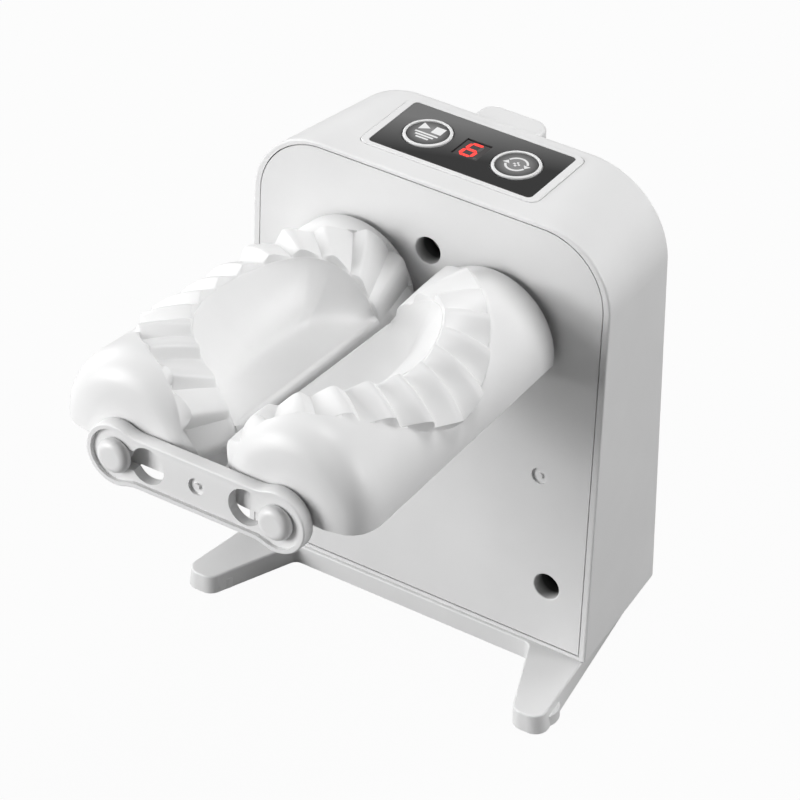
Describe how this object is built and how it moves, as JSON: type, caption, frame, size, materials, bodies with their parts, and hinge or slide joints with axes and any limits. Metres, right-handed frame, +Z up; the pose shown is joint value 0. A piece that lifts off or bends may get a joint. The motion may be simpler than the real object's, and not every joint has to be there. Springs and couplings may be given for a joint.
{
  "type": "electric dumpling maker",
  "caption": "Upright electric dumpling maker: a slim housing on a two-legged foot drives counter-rotating pleating moulds held at their front ends by a keyhole bracket.",
  "frame": {"origin": "on the ground, under the middle of the whole object's bounding box", "axes": "+Z up; +Y to the rear, so the moulds reach out towards -Y; +X to the right of someone facing the front panel"},
  "size_m": [0.1104, 0.1407, 0.1281],
  "materials": {
    "white_housing": "semi-gloss white moulded ABS",
    "white_panel": "semi-gloss white moulded ABS",
    "white_base": "semi-gloss white moulded ABS",
    "white_mould": "semi-gloss white food-grade ABS",
    "white_trim": "glossy white rim",
    "black_strip": "glossy black acrylic strip",
    "button_cap": "dark grey disc in a white ring",
    "display_face": "dark red display face",
    "rubber_foot": "dark grey rubber",
    "natural_gear": "natural acetal",
    "plate_plastic": "grey glass-filled nylon",
    "bushing_bronze": "sintered bronze",
    "steel": "turned steel",
    "screw_steel": "zinc-plated steel",
    "motor_can": "plated motor can",
    "board_green": "green solder mask",
    "black_part": "black moulded component",
    "cell_wrap": "blue shrink wrap",
    "contact_metal": "nickel-plated spring strip",
    "socket_metal": "plated socket shell"
  },
  "bodies": {
    "housing": {"main_shell": "white_housing", "front_panel": "white_panel", "base_frame": "white_base", "rubber_feet": "rubber_foot", "panel_screws": "screw_steel", "base_screws": "screw_steel", "gearbox_screws": "screw_steel", "motor_screws": "screw_steel", "board_screws": "screw_steel", "gearbox_plate": "plate_plastic", "shaft_bushings": "bushing_bronze", "gear_axles": "steel", "drive_motor": "motor_can", "control_bezel": "white_trim", "control_overlay": "black_strip", "control_board": "board_green", "board_parts": "black_part", "digit_display": "display_face", "tact_switches": "black_part", "charging_socket": "socket_metal", "charging_board": "board_green", "battery_cell": "cell_wrap", "battery_holder": "black_part", "battery_contacts": "contact_metal"},
    "right_output": {"right_output_gear": "natural_gear", "right_drive_shaft": "steel"},
    "left_output": {"left_output_gear": "natural_gear", "left_drive_shaft": "steel"},
    "second_stage": {"second_stage_gear": "natural_gear"},
    "first_stage": {"first_stage_gear": "natural_gear"},
    "motor_rotor": {"motor_shaft": "steel", "motor_pinion": "natural_gear"},
    "roller_carrier": {"roller_bracket": "white_trim"},
    "right_mould": {"right_roller": "white_mould", "right_roller_pin": "white_trim"},
    "left_mould": {"left_roller": "white_mould", "left_roller_pin": "white_trim"},
    "manual_key": {"manual_button": "button_cap", "manual_plunger": "black_part"},
    "auto_key": {"auto_button": "button_cap", "auto_plunger": "black_part"}
  },
  "joints": [
    {"name": "rollers_pull_off", "type": "slide", "parent": "housing", "child": "roller_carrier", "axis": [0, -0.9982, 0.0602], "range_m": [0, 0.02]},
    {"name": "right_roller_turn", "type": "hinge", "parent": "roller_carrier", "child": "right_mould", "pos_m": [0.023, 0.02766, 0.0908], "axis": [0, -0.9982, 0.0602], "continuous": true},
    {"name": "left_roller_turn", "type": "hinge", "parent": "roller_carrier", "child": "left_mould", "pos_m": [-0.023, 0.02766, 0.0908], "axis": [0, -0.9982, 0.0602], "continuous": true},
    {"name": "right_shaft_turn", "type": "hinge", "parent": "housing", "child": "right_output", "pos_m": [0.023, 0.02766, 0.0908], "axis": [0, -0.9982, 0.0602], "continuous": true},
    {"name": "left_shaft_turn", "type": "hinge", "parent": "housing", "child": "left_output", "pos_m": [-0.023, 0.02766, 0.0908], "axis": [0, -0.9982, 0.0602], "continuous": true},
    {"name": "second_stage_turn", "type": "hinge", "parent": "housing", "child": "second_stage", "pos_m": [0.023, 0.02592, 0.06185], "axis": [0, -0.9982, 0.0602], "continuous": true},
    {"name": "first_stage_turn", "type": "hinge", "parent": "housing", "child": "first_stage", "pos_m": [0.0022, 0.02592, 0.06185], "axis": [0, -0.9982, 0.0602], "continuous": true},
    {"name": "motor_turn", "type": "hinge", "parent": "housing", "child": "motor_rotor", "pos_m": [-0.0149, 0.02592, 0.06185], "axis": [0, -0.9982, 0.0602], "continuous": true},
    {"name": "manual_press", "type": "slide", "parent": "housing", "child": "manual_key", "axis": [0, 0, -1], "range_m": [0, 0.0004], "stiffness_N_per_m": 1500, "springref_m": -0.0004},
    {"name": "auto_press", "type": "slide", "parent": "housing", "child": "auto_key", "axis": [0, 0, -1], "range_m": [0, 0.0004], "stiffness_N_per_m": 1500, "springref_m": -0.0004}
  ],
  "couplings": [
    {"joint": "left_roller_turn", "follows": "right_roller_turn", "ratio": -1},
    {"joint": "right_shaft_turn", "follows": "right_roller_turn", "ratio": 1},
    {"joint": "left_shaft_turn", "follows": "right_roller_turn", "ratio": -1},
    {"joint": "second_stage_turn", "follows": "right_roller_turn", "ratio": -3.8333},
    {"joint": "first_stage_turn", "follows": "right_roller_turn", "ratio": 12.778},
    {"joint": "motor_turn", "follows": "right_roller_turn", "ratio": -47.917}
  ]
}
